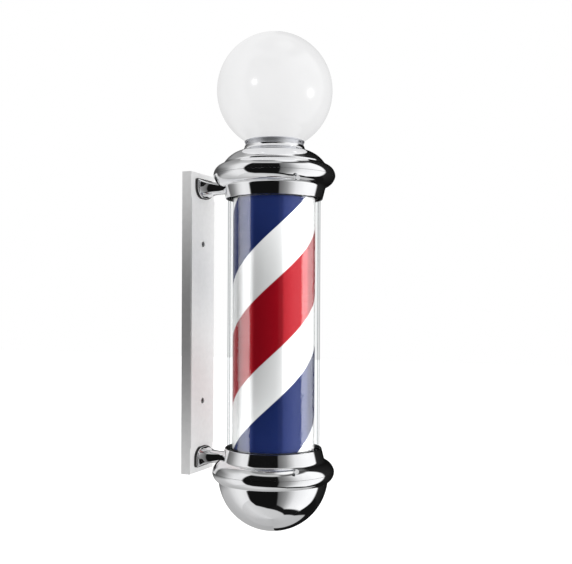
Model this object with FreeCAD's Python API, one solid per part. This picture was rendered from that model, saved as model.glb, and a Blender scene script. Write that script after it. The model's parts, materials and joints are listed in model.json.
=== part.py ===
import FreeCAD, Part
import math
import os

from FreeCAD import Vector

# A wall-mounted barber pole light with a glass globe on top, in millimetres.
# +Z is up, the wall is towards +Y, and the origin is the centre of the
# mounting plate's back face. The pole's axis stands upright in front of it.

# ---- driving dimensions ----
pole_reach = 158.0          # wall to the pole's axis
plate_width = 86.0
plate_height = 532.0
plate_depth = 18.0
plate_sheet = 1.5
screw_spacing = 280.0       # between the two wall screws
access_radius = 5.25        # screwdriver holes in the front of the plate
wall_hole_radius = 2.75     # for a 5 mm wall screw

tube_radius = 80.0          # clear outer tube
tube_wall = 3.0
tube_half = 222.0           # half of its length
drum_radius = 71.0          # over the printed sleeve
drum_half = 214.8
film = 0.35                 # thickness of the printed sleeve
drum_wall = 2.1

collar_edge = 215.0         # height of a collar's edge above the middle
collar_wall = 2.2
bead_height = 254.0         # height of the widest line of a bead
bead_radius = 105.5
seam = 0.4                  # open line between a collar and its cap
sheet = 1.6                 # wall of the spun caps
end_plate_low = 249.5       # the disc inside each collar
end_plate_high = 253.5

globe_radius = 100.0        # 200 mm globe
globe_centre = 402.6
globe_wall = 3.0
dome_radius = 95.0          # bottom cap
dome_centre = -262.0

arm_height = 238.5
neck_radius = 10.5
foot_width = 55.0
foot_tall = 33.0
foot_thick = 3.5
gasket_thick = 4.5
foot_round_low = 19.0       # corners towards the middle of the plate
foot_round_high = 4.0
foot_edge = 2.4             # rounding of the foot's front edge
horn_length = 34.0          # from the foot's front to the straight neck
horn_steps = 6

screw_angles = (45.0, 225.0)
lug_angle = 113.0           # one of the two snap lugs of a drum cap

# ---- lesser dimensions ----
strip_half = 220.5          # half length of the face strip
strip_thick = 1.2
foot_back = plate_depth + gasket_thick      # depth of the foot's back face
foot_screw_side = 19.0
boss_inner = 73.0           # inner face of the boss that takes the arm's tie tube
tie_inner = 66.0
cable_height = -190.0
grommet_groove = 8.0
grommet_rim = 10.5
collar_screw_height = 239.0
spindle_radius = 7.0
spindle_low = 197.0
bush_radius = 9.5
lamp_length = 330.0
bridge_foot = 42.0
bridge_deck = 284.0
fitter_sleeve = 49.0
set_screw_angles = (20.0, 140.0, 260.0)
shaft_radius = 3.5
hub_low = -240.0
hub_screw_angles = (60.0, 180.0, 300.0)
motor_boss = 9.0
gearbox_radius = 31.0
gearbox_height = 18.0
motor_screw_circle = 37.0
motor_screw_angles = (90.0, 270.0)

up = Vector(0, 0, 1)
to_wall = Vector(0, 1, 0)
middle = Vector(0, 0, 0)
axis_foot = Vector(0, -pole_reach, 0)


# ---- helpers ----
def on_pole(radius, height):
    return Vector(radius, -pole_reach, height)


def closed_face(path, spot):
    # A pair is the end of a straight; two pairs are the middle and end of an arc.
    here = spot(*path[0])
    edges = []
    for step in path[1:]:
        if isinstance(step[0], tuple):
            end = spot(*step[1])
            edges.append(Part.Arc(here, spot(*step[0]), end).toShape())
        else:
            end = spot(*step)
            edges.append(Part.makeLine(here, end))
        here = end
    edges.append(Part.makeLine(here, spot(*path[0])))
    return Part.Face(Part.Wire(edges))


def turned(*path):
    # A solid of revolution about the pole's axis, from (radius, height) points.
    return closed_face(path, on_pole).revolve(axis_foot, up, 360)


def ring(inner, outer, low, high):
    return turned((inner, low), (outer, low), (outer, high), (inner, high))


def disc(radius, low, high):
    return Part.makeCylinder(radius, high - low, Vector(0, -pole_reach, low), up)


def rod(radius, start, end):
    along = end - start
    return Part.makeCylinder(radius, along.Length, start, along)


def box(x_low, x_high, y_low, y_high, z_low, z_high):
    corner = Vector(x_low, y_low, z_low)
    return Part.makeBox(x_high - x_low, y_high - y_low, z_high - z_low, corner)


def around(angle, radius, height):
    # A point at an angle about the pole's axis, counted from +X.
    turn = math.radians(angle)
    return Vector(radius * math.cos(turn), -pole_reach + radius * math.sin(turn), height)


def hexagon(start, end, across_flats, bore):
    # A hexagon nut or head between two points.
    along = end - start
    side = Vector(0, 0, 1) if abs(along.z) < 0.5 * along.Length else Vector(1, 0, 0)
    turn = FreeCAD.Rotation(along, 60)
    corner = side * (across_flats / math.sqrt(3))
    corners = []
    for _ in range(6):
        corners.append(start + corner)
        corner = turn.multVec(corner)
    nut = Part.Face(Part.makePolygon(corners + [corners[0]])).extrude(along)
    if bore > 0:
        nut = nut.cut(rod(bore, start, end))
    return nut


def rounded_plate(half_width, low, high, round_low, round_high, y_back, y_front):
    # An upright plate facing -Y, with its two lower and two upper corners rounded.
    corners = (
        (-half_width + round_low, low + round_low, round_low, 180),
        (half_width - round_low, low + round_low, round_low, 270),
        (half_width - round_high, high - round_high, round_high, 0),
        (-half_width + round_high, high - round_high, round_high, 90),
    )
    arcs = []
    for x, z, radius, first in corners:
        points = []
        for part_turn in (0, 45, 90):
            turn = math.radians(first + part_turn)
            points.append(Vector(x + radius * math.cos(turn), y_back, z + radius * math.sin(turn)))
        arcs.append(points)
    edges = []
    for index, points in enumerate(arcs):
        edges.append(Part.Arc(*points).toShape())
        edges.append(Part.makeLine(points[2], arcs[(index + 1) % 4][0]))
    return Part.Face(Part.Wire(edges)).extrude(Vector(0, y_front - y_back, 0))


def mirrored(shape):
    # The same piece at the other end of the pole.
    return shape.mirror(middle, up)


def fused(shapes):
    return shapes[0].fuse(shapes[1:]).removeSplitter()


def save(name, shape):
    solids = shape.Solids
    if not solids or not shape.isValid():
        raise ValueError(name + " is not a valid solid")
    shape = solids[0] if len(solids) == 1 else Part.makeCompound(solids)
    shape.exportStep("parts/" + name + ".step")
    print(name, len(solids), round(shape.Volume / 1000.0, 2), "cm3")


# ---- outlines shared by several pieces ----
def collar_line(shift):
    # Outside of a collar from its edge up to the bead's widest line: a barrel,
    # a small hollow, then the lower half of the bead.
    return (
        (83.5 + shift, collar_edge),
        ((85.9 + shift, 224.0), (88.0 + shift, 232.5)),
        ((89.4 + shift, 235.8), (92.5 + shift, 237.6)),
        ((101.2 + shift, 244.6), (bead_radius + shift, bead_height)),
    )


def cap_line(shift):
    # Outside of the top cap from the bead's widest line up to the neck: half
    # a bead, a step, a dome and a hollow that runs up into the neck.
    low = bead_height + seam
    return (
        (bead_radius - shift, low - shift),
        ((102.6 - shift, 264.6 - shift), (93.4 - shift, 272.4 - shift)),
        ((90.6 - shift, 273.9 - shift), (87.6 - shift, 274.4 - shift)),
        (87.6 - shift, 276.8 - shift),
        ((76.8 - shift, 288.0 - shift), (60.5 - shift, 296.6 - shift)),
        ((54.0 - shift, 300.4 - shift), (51.6 - shift, 306.0 - shift)),
    )


# ---- wall plate ----
def back_plate():
    half_width = plate_width / 2 - plate_sheet - 0.5
    half_height = plate_height / 2 - plate_sheet - 0.5
    thick = 2.5
    flat = rounded_plate(half_width, -half_height, half_height, 3, 3, 0, -thick)
    tab_half = 16
    tab_reach = 12
    top_tab = box(-tab_half, tab_half, -tab_reach, -1, half_height - thick, half_height)
    plate = fused([flat, top_tab, mirrored(top_tab)])
    for height in (screw_spacing / 2, -screw_spacing / 2):
        plate = plate.cut(rod(wall_hole_radius, Vector(0, 1, height), Vector(0, -9, height)))
    cable_hole = rod(grommet_groove, Vector(0, 1, cable_height), Vector(0, -9, cable_height))
    plate = plate.cut(cable_hole)
    end_screw_hole = rod(2.0, Vector(0, -7, -plate_height), Vector(0, -7, plate_height))
    return plate.cut(end_screw_hole)


def wall_plate():
    half_width = plate_width / 2
    half_height = plate_height / 2
    outside = box(-half_width, half_width, -plate_depth, 0, -half_height, half_height)
    long_edges = []
    for edge in outside.Edges:
        middle_of_edge = edge.CenterOfMass
        if abs(middle_of_edge.y + plate_depth) < 0.1:
            long_edges.append(edge)
    outside = outside.makeFillet(1.2, long_edges)
    inside = box(-half_width + plate_sheet, half_width - plate_sheet, plate_sheet - plate_depth, 1,
                 -half_height + plate_sheet, half_height - plate_sheet)
    channel = outside.cut(inside)
    for height in (screw_spacing / 2, -screw_spacing / 2):
        channel = channel.cut(rod(access_radius, Vector(0, -30, height), Vector(0, -10, height)))
    for height in (arm_height, -arm_height):
        channel = channel.cut(rod(5.3, Vector(0, -30, height), Vector(0, -10, height)))
        for side in (-foot_screw_side, foot_screw_side):
            start = Vector(side, -30, height)
            channel = channel.cut(rod(2.2, start, Vector(side, -10, height)))
    end_screw_hole = rod(2.1, Vector(0, -7, -plate_height), Vector(0, -7, plate_height))
    return channel.cut(end_screw_hole)


def face_strip():
    strip = rounded_plate(plate_width / 2 - 1.0, -strip_half, strip_half, 1.5, 1.5,
                          -plate_depth, -plate_depth - strip_thick)
    for height in (screw_spacing / 2, -screw_spacing / 2):
        strip = strip.cut(rod(access_radius, Vector(0, -30, height), Vector(0, -10, height)))
    return strip


def end_screws():
    # One pan-head screw through each end of the plate.
    high = plate_height / 2
    head = rod(3.6, Vector(0, -7, high), Vector(0, -7, high + 2.2))
    shank = rod(1.95, Vector(0, -7, high - 8), Vector(0, -7, high))
    slot = box(-4, 4, -7.5, -6.5, high + 1.3, high + 3)
    screw = fused([head, shank]).cut(slot)
    return Part.makeCompound([screw, mirrored(screw)])


def cable_grommet():
    # A rubber ring with a groove that grips the back plate's cable hole.
    def spot(radius, along):
        return Vector(radius, along, cable_height)
    bore = 4.5
    path = (
        (bore, 0.0), (grommet_groove - 0.1, 0.0), (grommet_groove - 0.1, -2.6),
        (grommet_rim, -2.6), ((grommet_rim + 0.6, -3.6), (grommet_rim, -4.6)), (bore, -4.6),
    )
    return closed_face(path, spot).revolve(Vector(0, 0, cable_height), to_wall, 360)


# ---- arms ----
def foot_pad(grow, y_back, y_front):
    return rounded_plate(foot_width / 2 + grow, arm_height - foot_tall / 2 - grow,
                         arm_height + foot_tall / 2 + grow, foot_round_low + grow, foot_round_high + grow,
                         y_back, y_front)


def arm_holes(shape):
    shape = shape.cut(rod(5.15, Vector(0, 0, arm_height), Vector(0, -pole_reach, arm_height)))
    for side in (-foot_screw_side, foot_screw_side):
        start = Vector(side, -10, arm_height)
        shape = shape.cut(rod(2.05, start, Vector(side, -foot_back - 4.5, arm_height)))
    return shape


def horn_section(share, depth):
    # The foot's outline (share 0) drawn in towards the round neck (share 1).
    def towards(foot_size, neck_size):
        return foot_size * (1 - share) + neck_size * share
    half_width = towards(foot_width / 2 - foot_edge, neck_radius)
    half_tall = towards(foot_tall / 2 - foot_edge, neck_radius)
    round_low = towards(foot_round_low - foot_edge, neck_radius - 0.3)
    round_high = towards(foot_round_high - 0.5, neck_radius - 0.3)
    plate = rounded_plate(half_width, arm_height - half_tall, arm_height + half_tall,
                          round_low, round_high, depth, depth - 1)
    back_face = [face for face in plate.Faces if abs(face.CenterOfMass.y - depth) < 0.01]
    return back_face[0].OuterWire


def arm():
    # A rounded foot on the wall plate, a horn that narrows from the foot's edge to
    # a straight neck, and a neck end cut to lie on the collar.
    front = -foot_back - foot_thick
    pad = foot_pad(0, -foot_back, front)
    rim_edges = [edge for edge in pad.Edges if abs(edge.CenterOfMass.y - front) < 0.01]
    pad = pad.makeFillet(foot_edge - 0.1, rim_edges)
    sections = []
    for step in range(horn_steps + 1):
        along = step / horn_steps
        share = 1 - (1 - along) ** 2
        sections.append(horn_section(share, front + 0.5 - (horn_length + 0.5) * along))
    horn = Part.makeLoft(sections, True)
    neck = rod(neck_radius, Vector(0, front - horn_length / 2, arm_height), Vector(0, -pole_reach, arm_height))
    collar_space = turned((0, 200), (82, 200), *collar_line(0.05), (0, bead_height))
    return arm_holes(fused([pad, horn, neck]).cut(collar_space))


def arm_gasket():
    return arm_holes(foot_pad(0.9, -plate_depth, -foot_back))


def tie_tube():
    # A hollow threaded tube that clamps the arm and lets the wires through.
    start = Vector(0, -5, arm_height)
    end = Vector(0, -pole_reach + tie_inner, arm_height)
    return rod(5.0, start, end).cut(rod(3.4, start, end))


def tie_nuts():
    wall_seat = -plate_depth + plate_sheet
    outer = hexagon(Vector(0, wall_seat, arm_height), Vector(0, wall_seat + 5, arm_height), 14, 5.05)
    inner_seat = -pole_reach + boss_inner
    inner = hexagon(Vector(0, inner_seat - 5, arm_height), Vector(0, inner_seat, arm_height), 14, 5.05)
    return [outer, inner]


def foot_screws():
    screws = []
    wall_seat = -plate_depth + plate_sheet
    for side in (-foot_screw_side, foot_screw_side):
        shank = rod(2.0, Vector(side, -foot_back - 4, arm_height), Vector(side, wall_seat, arm_height))
        head = rod(3.8, Vector(side, wall_seat, arm_height), Vector(side, wall_seat + 2.6, arm_height))
        screws.append(fused([shank, head]))
    return screws


# ---- pole housing ----
def collar():
    outside = turned((0, collar_edge), *collar_line(0), (0, bead_height))
    line = collar_line(-collar_wall)
    inside = turned((0, 214), (line[0][0], 214), *line, (bead_radius - collar_wall, 255), (0, 255))
    shape = outside.cut(inside)
    for angle in screw_angles:
        shape = shape.cut(rod(2.2, around(angle, 70, collar_screw_height), around(angle, 120, collar_screw_height)))
    arm_hole = rod(5.3, Vector(0, -pole_reach + 60, arm_height), Vector(0, -pole_reach + 120, arm_height))
    return shape.cut(arm_hole)


def end_frame():
    # Cast ring that lies inside the collar, with a flat disc across it.
    gap = collar_wall + 0.3
    body = turned((0, 200), (80, 200), *collar_line(-gap), (0, bead_height))
    body = body.common(disc(120, tube_half + 0.6, end_plate_high))
    body = body.cut(disc(78, 200, 238))
    body = body.cut(turned((0, 237.9), (78, 237.9), (84, 243), (84, end_plate_low), (0, end_plate_low)))
    boss = box(-11, 11, -pole_reach + boss_inner, -pole_reach + 84, arm_height - 10, end_plate_low + 1)
    body = fused([body, boss.cut(turned((84, 200), (120, 200), (120, 260), (84, 260)))])
    tie_hole = rod(5.1, Vector(0, -pole_reach + 60, arm_height), Vector(0, -pole_reach + 120, arm_height))
    body = body.cut(tie_hole)
    for angle in screw_angles:
        start = around(angle, 82, collar_screw_height)
        body = body.cut(rod(1.95, start, around(angle, 120, collar_screw_height)))
    return body


def upper_frame():
    body = end_frame().cut(disc(spindle_radius + 0.1, 240, 260))
    for side in (-bridge_foot, bridge_foot):
        foot = Vector(side, -pole_reach, 240)
        body = body.cut(rod(1.75, foot, Vector(side, -pole_reach, 260)))
    return body


def lower_frame():
    body = mirrored(end_frame()).cut(disc(motor_boss + 0.3, -260, -240))
    for angle in motor_screw_angles:
        body = body.cut(rod(2.1, around(angle, motor_screw_circle, -260), around(angle, motor_screw_circle, -240)))
    return body


def tube_seal():
    line = collar_line(-collar_wall - 0.05)
    lip = line[0][0]
    return turned((tube_radius + 0.05, collar_edge + 1), (lip, collar_edge + 1), (lip + 1.2, 221.5),
                  (tube_radius + 0.05, 221.5))


def clear_tube():
    return ring(tube_radius - tube_wall, tube_radius, -tube_half, tube_half)


def collar_screws():
    # Knurled thumb screws, pointing at the axis just under the bead.
    screws = []
    groove_count = 12
    seat = 98.7
    head_radius = 4.0
    for angle in screw_angles:
        tip = around(angle, 84.5, collar_screw_height)
        under_head = around(angle, seat, collar_screw_height)
        head_start = around(angle, seat + 1.6, collar_screw_height)
        top = around(angle, seat + 7.6, collar_screw_height)
        shank = rod(1.9, tip, under_head)
        neck = rod(2.9, under_head, head_start)
        head = rod(head_radius, head_start, top)
        outward = top - head_start
        groove_turn = FreeCAD.Rotation(outward, 360.0 / groove_count)
        offset = Vector(0, 0, head_radius + 0.2)
        for _ in range(groove_count):
            head = head.cut(rod(0.55, head_start + offset - outward, top + offset + outward))
            offset = groove_turn.multVec(offset)
        slot_direction = around(angle + 90, 6, 0) - axis_foot
        slot = rod(0.6, top - slot_direction, top + slot_direction)
        screws.append(fused([shank, neck, head]).cut(slot))
    return Part.makeCompound(screws)


# ---- globe end ----
def top_cap():
    outside = turned((0, bead_height + seam), *cap_line(0), (0, 306))
    inside = turned((0, 240), (bead_radius - sheet, 240), *cap_line(sheet), (0, 306 - sheet))
    return outside.cut(inside).cut(disc(fitter_sleeve + 0.1, 290, 320))


def globe_fitter():
    # Neck ring with a rolled lip; a sleeve goes down through the cap to a shelf.
    shape = turned(
        (43.0, 297.5), (fitter_sleeve, 297.5), (fitter_sleeve, 306.05), (51.6, 306.05),
        ((50.6, 306.8), (50.3, 308.0)), (50.3, 312.2),
        ((51.9, 313.9), (50.6, 315.5)), (47.4, 313.8), (47.4, 299.1), (43.0, 299.1))
    for angle in set_screw_angles:
        shape = shape.cut(rod(1.9, around(angle, 40, 310), around(angle, 60, 310)))
    return shape


def globe_gasket():
    return ring(43.2, 47.3, 299.1, 301.0)


def globe_set_screws():
    screws = []
    for angle in set_screw_angles:
        tip = around(angle, 44.6, 310)
        outer = around(angle, 52.2, 310)
        screw = rod(1.85, tip, outer)
        socket = hexagon(around(angle, 50.4, 310), around(angle, 53, 310), 2.0, 0)
        screws.append(screw.cut(socket))
    return Part.makeCompound(screws)


def globe():
    neck = 44.5
    inner_neck = neck - globe_wall
    inner_radius = globe_radius - globe_wall
    meets = globe_centre - math.sqrt(globe_radius ** 2 - neck ** 2)
    inner_meets = globe_centre - math.sqrt(inner_radius ** 2 - inner_neck ** 2)
    return turned(
        (inner_neck, 301.0), (46.9, 301.0), (46.9, 304.0), (neck, 306.0), (neck, meets),
        ((globe_radius, globe_centre), (0, globe_centre + globe_radius)),
        (0, globe_centre + inner_radius),
        ((inner_radius, globe_centre), (inner_neck, inner_meets)))


def lamp_bridge():
    # Steel strip bent over the spindle to carry the globe's lamp holder.
    foot = end_plate_high
    deck = bridge_deck
    half = 11
    low_y = -pole_reach - half
    high_y = -pole_reach + half
    span = 30
    thick = 1.6
    top = box(-span, span, low_y, high_y, deck - thick, deck)
    right_leg = box(span - thick, span, low_y, high_y, foot, deck)
    left_leg = box(-span, -span + thick, low_y, high_y, foot, deck)
    right_foot = box(span - thick, span + 24, low_y, high_y, foot, foot + thick)
    left_foot = box(-span - 24, -span + thick, low_y, high_y, foot, foot + thick)
    bridge = fused([top, right_leg, left_leg, right_foot, left_foot])
    bridge = bridge.cut(disc(4.5, deck - 4, deck + 4))
    for side in (-bridge_foot, bridge_foot):
        bridge = bridge.cut(rod(1.9, Vector(side, -pole_reach, foot - 1), Vector(side, -pole_reach, foot + 4)))
    return bridge


def bridge_screws():
    screws = []
    top = end_plate_high + 1.6
    for side in (-bridge_foot, bridge_foot):
        shank = rod(1.7, Vector(side, -pole_reach, end_plate_low + 0.5), Vector(side, -pole_reach, top))
        head = rod(3.3, Vector(side, -pole_reach, top), Vector(side, -pole_reach, top + 2.2))
        screws.append(fused([shank, head]))
    return Part.makeCompound(screws)


def globe_lamp_holder():
    low = bridge_deck
    return turned((0, low), (20, low), (20, low + 8), (18, low + 10), (18, low + 32),
                  (13.4, low + 32), (13.4, low + 8), (0, low + 8))


def globe_bulb():
    low = bridge_deck + 9
    round_centre = low + 68
    bulb_radius = 30
    throat = 14
    meets = round_centre - math.sqrt(bulb_radius ** 2 - throat ** 2)
    return turned((0, low), (6, low), (13, low + 4), (13, low + 25), (throat, low + 28), (throat, meets),
                  ((bulb_radius, round_centre), (0, round_centre + bulb_radius)))


# ---- drum and its lamp ----
def spindle():
    # Hollow fixed pin that the drum's top turns on; the lamp's wires run through it.
    return ring(4.4, spindle_radius, spindle_low, 264)


def spindle_nuts():
    above = hexagon(on_pole(0, end_plate_high), on_pole(0, end_plate_high + 5), 21, spindle_radius + 0.05)
    below = hexagon(on_pole(0, end_plate_low - 5), on_pole(0, end_plate_low), 21, spindle_radius + 0.05)
    return Part.makeCompound([above, below])


def drum_lamp_holder():
    low = spindle_low - 22
    return turned((0, low), (17, low), ((17.8, low + 1), (17, low + 2)), (17, spindle_low + 4),
                  (11, spindle_low + 7), (spindle_radius + 0.05, spindle_low + 7),
                  (spindle_radius + 0.05, spindle_low - 0.05), (0, spindle_low - 0.05))


def drum_lamp():
    high = spindle_low - 22
    low = high - lamp_length
    return turned((0, low), (10, low), ((12.2, low + 1), (13, low + 3)), (13, high), (0, high))


def drum_lamp_end():
    high = spindle_low - 22 - lamp_length
    return turned((0, high - 14), (11.5, high - 14), ((13.2, high - 13.2), (14, high - 11.5)), (14, high - 0.05),
                  (0, high - 0.05))


def drum_tube():
    outer = drum_radius - film - 0.05
    return ring(outer - drum_wall, outer, -drum_half, drum_half)


def striped_sleeve():
    return ring(drum_radius - film, drum_radius, -drum_half + 0.3, drum_half - 0.3)


def drum_cap(hub_radius, hub_low):
    # A disc that closes the drum, with a rim inside it and two small snap lugs.
    spigot = drum_radius - film - drum_wall - 0.15
    face = disc(drum_radius, drum_half + 0.05, drum_half + 3.5)
    rim = ring(spigot - 3, spigot, drum_half - 12, drum_half + 1)
    hub = disc(hub_radius, hub_low, drum_half + 3.5)
    pieces = [face, rim, hub]
    for angle in (lug_angle, lug_angle + 180):
        lug = rod(3.0, around(angle, drum_radius - 2, drum_half + 1.75), around(angle, 73.8, drum_half + 1.75))
        lug_space = disc(90, drum_half + 0.05 - 3, drum_half + 3.5).cut(disc(drum_radius + 0.1, 200, drum_half))
        pieces.append(lug.common(lug_space))
    for angle in (0, 120, 240):
        rib = box(hub_radius - 1, spigot - 1, -1.2, 1.2, drum_half - 7, drum_half + 1)
        rib.rotate(middle, up, angle)
        rib.translate(axis_foot)
        pieces.append(rib)
    return fused(pieces)


def drum_top_cap():
    return drum_cap(14.0, drum_half - 8).cut(disc(bush_radius, 200, 230))


def top_bush():
    # Flanged bronze bush pressed into the drum's top cap.
    bore = spindle_radius + 0.05
    top = drum_half + 3.5
    return turned((bore, drum_half - 8), (bush_radius, drum_half - 8), (bush_radius, top),
                  (13, top), (13, top + 2), (bore, top + 2))


def drum_bottom_cap():
    cap = drum_cap(14.0, drum_half - 8).cut(disc(7.0, 200, 230))
    cap = mirrored(cap)
    for angle in hub_screw_angles:
        cap = cap.cut(rod(1.6, around(angle, 19, -230), around(angle, 19, -200)))
    return cap


def drive_hub():
    # Flanged hub that grips the motor's shaft and carries the drum.
    flange_high = -drum_half - 3.55
    hub = turned((shaft_radius + 0.02, hub_low), (11, hub_low), (11, flange_high - 3), (24, flange_high - 3),
                 (24, flange_high), (shaft_radius + 0.02, flange_high))
    for angle in hub_screw_angles:
        hub = hub.cut(rod(1.75, around(angle, 19, -230), around(angle, 19, -200)))
    grub_height = hub_low + 5
    return hub.cut(rod(2.0, around(0, 3.3, grub_height), around(0, 14, grub_height)))


def hub_screws():
    screws = []
    low = -drum_half - 6.55
    for angle in hub_screw_angles:
        shank = rod(1.55, around(angle, 19, low), around(angle, 19, -drum_half + 0.5))
        head = rod(3.0, around(angle, 19, low - 2.2), around(angle, 19, low))
        screws.append(fused([shank, head]))
    return Part.makeCompound(screws)


def hub_grub_screw():
    grub_height = hub_low + 5
    screw = rod(1.95, around(0, shaft_radius + 0.05, grub_height), around(0, 10.5, grub_height))
    return screw.cut(hexagon(around(0, 8.5, grub_height), around(0, 11, grub_height), 2.0, 0))


# ---- motor and wiring pieces ----
def gearbox():
    top = -end_plate_high
    low = top - gearbox_height
    body = turned((shaft_radius + 0.06, -244.5), (motor_boss, -244.5), (motor_boss, top), (gearbox_radius, top),
                  (gearbox_radius, low), (0, low), (0, low + 4), (9, low + 4), (9, top - 4),
                  (shaft_radius + 0.06, top - 4))
    for angle in motor_screw_angles:
        ear = rod(6.0, around(angle, motor_screw_circle, top - 3), around(angle, motor_screw_circle, top))
        arm_low = box(0, motor_screw_circle, -6, 6, top - 3, top)
        arm_low.rotate(middle, up, angle)
        arm_low.translate(axis_foot)
        arm_low = arm_low.cut(disc(gearbox_radius - 1, -300, -200))
        body = fused([body, ear, arm_low])
        body = body.cut(rod(2.05, around(angle, motor_screw_circle, top - 5), around(angle, motor_screw_circle, top + 1)))
    return body


def motor_can():
    high = -end_plate_high - gearbox_height
    low = high - 21
    radius = 26.0
    return turned((0, low), (radius - 3, low), ((radius - 0.9, low + 0.9), (radius, low + 3)), (radius, high - 0.05),
                  (0, high - 0.05))


def motor_shaft():
    # The shaft keeps a collar inside the gearbox, so it can't lift out.
    top = -end_plate_high
    return turned((0, top - 13), (8, top - 13), (8, top - 5), (shaft_radius, top - 5), (shaft_radius, -220),
                  (0, -220))


def motor_screws():
    screws = []
    low = -end_plate_high - 3
    for angle in motor_screw_angles:
        shank = rod(2.0, around(angle, motor_screw_circle, low), around(angle, motor_screw_circle, -246))
        head = rod(3.6, around(angle, motor_screw_circle, low - 2.6), around(angle, motor_screw_circle, low))
        screws.append(fused([shank, head]))
    return Part.makeCompound(screws)


def bottom_dome():
    low = -bead_height - seam
    step = -272.0
    step_radius = math.sqrt(dome_radius ** 2 - (step - dome_centre) ** 2)
    inner_radius = dome_radius - sheet
    inner_step = math.sqrt(inner_radius ** 2 - (step + sheet - dome_centre) ** 2)
    slant = math.sqrt(0.5)
    outside = turned(
        (0, low), (bead_radius, low), ((103.4, -263.8), (97.6, -270.6)), ((96.4, -271.7), (step_radius, step)),
        ((dome_radius * slant, dome_centre - dome_radius * slant), (0, dome_centre - dome_radius)))
    inside = turned(
        (0, -250), (bead_radius - sheet, -250), (bead_radius - sheet, low),
        ((101.8, -263.0), (inner_step, step + sheet)),
        ((inner_radius * slant, dome_centre - inner_radius * slant), (0, dome_centre - inner_radius)))
    return outside.cut(inside)


def lamp_driver():
    high = -end_plate_high
    case = box(38, 64, -pole_reach - 27, -pole_reach + 27, high - 24, high)
    upright = [edge for edge in case.Edges if abs(edge.tangentAt(0).z) > 0.9]
    return case.makeFillet(2.0, upright)


def terminal_block():
    high = -end_plate_high
    block = box(-58, -42, -pole_reach - 18, -pole_reach + 18, high - 14, high)
    for index in range(3):
        y = -pole_reach - 12 + 12 * index
        block = block.cut(rod(2.4, Vector(-70, y, high - 8), Vector(-30, y, high - 8)))
        block = block.cut(rod(2.0, Vector(-50, y, high - 20), Vector(-50, y, high - 8)))
    return block


os.makedirs("parts", exist_ok=True)

one_arm = arm()
one_gasket = arm_gasket()
one_collar = collar()
one_seal = tube_seal()
one_tie = tie_tube()
one_screw_set = collar_screws()
nuts = tie_nuts()
feet = foot_screws()

pieces = {
    "back_plate": back_plate(),
    "wall_plate": wall_plate(),
    "face_strip": face_strip(),
    "end_screws": end_screws(),
    "cable_grommet": cable_grommet(),
    "upper_arm": one_arm,
    "lower_arm": mirrored(one_arm),
    "upper_arm_gasket": one_gasket,
    "lower_arm_gasket": mirrored(one_gasket),
    "arm_tie_tubes": Part.makeCompound([one_tie, mirrored(one_tie)]),
    "arm_tie_nuts": Part.makeCompound(nuts + [mirrored(nut) for nut in nuts]),
    "arm_foot_screws": Part.makeCompound(feet + [mirrored(screw) for screw in feet]),
    "upper_collar": one_collar,
    "lower_collar": mirrored(one_collar),
    "upper_frame": upper_frame(),
    "lower_frame": lower_frame(),
    "upper_tube_seal": one_seal,
    "lower_tube_seal": mirrored(one_seal),
    "clear_tube": clear_tube(),
    "upper_collar_screws": one_screw_set,
    "lower_collar_screws": mirrored(one_screw_set),
    "top_cap": top_cap(),
    "globe_fitter": globe_fitter(),
    "globe_gasket": globe_gasket(),
    "globe_set_screws": globe_set_screws(),
    "globe": globe(),
    "lamp_bridge": lamp_bridge(),
    "bridge_screws": bridge_screws(),
    "globe_lamp_holder": globe_lamp_holder(),
    "globe_bulb": globe_bulb(),
    "spindle": spindle(),
    "spindle_nuts": spindle_nuts(),
    "drum_lamp_holder": drum_lamp_holder(),
    "drum_lamp": drum_lamp(),
    "drum_lamp_end": drum_lamp_end(),
    "drum_tube": drum_tube(),
    "striped_sleeve": striped_sleeve(),
    "drum_top_cap": drum_top_cap(),
    "top_bush": top_bush(),
    "drum_bottom_cap": drum_bottom_cap(),
    "drive_hub": drive_hub(),
    "hub_screws": hub_screws(),
    "hub_grub_screw": hub_grub_screw(),
    "gearbox": gearbox(),
    "motor_can": motor_can(),
    "motor_shaft": motor_shaft(),
    "motor_screws": motor_screws(),
    "bottom_dome": bottom_dome(),
    "lamp_driver": lamp_driver(),
    "terminal_block": terminal_block(),
}
for name, shape in pieces.items():
    save(name, shape)
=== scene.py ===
import json
import math

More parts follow.
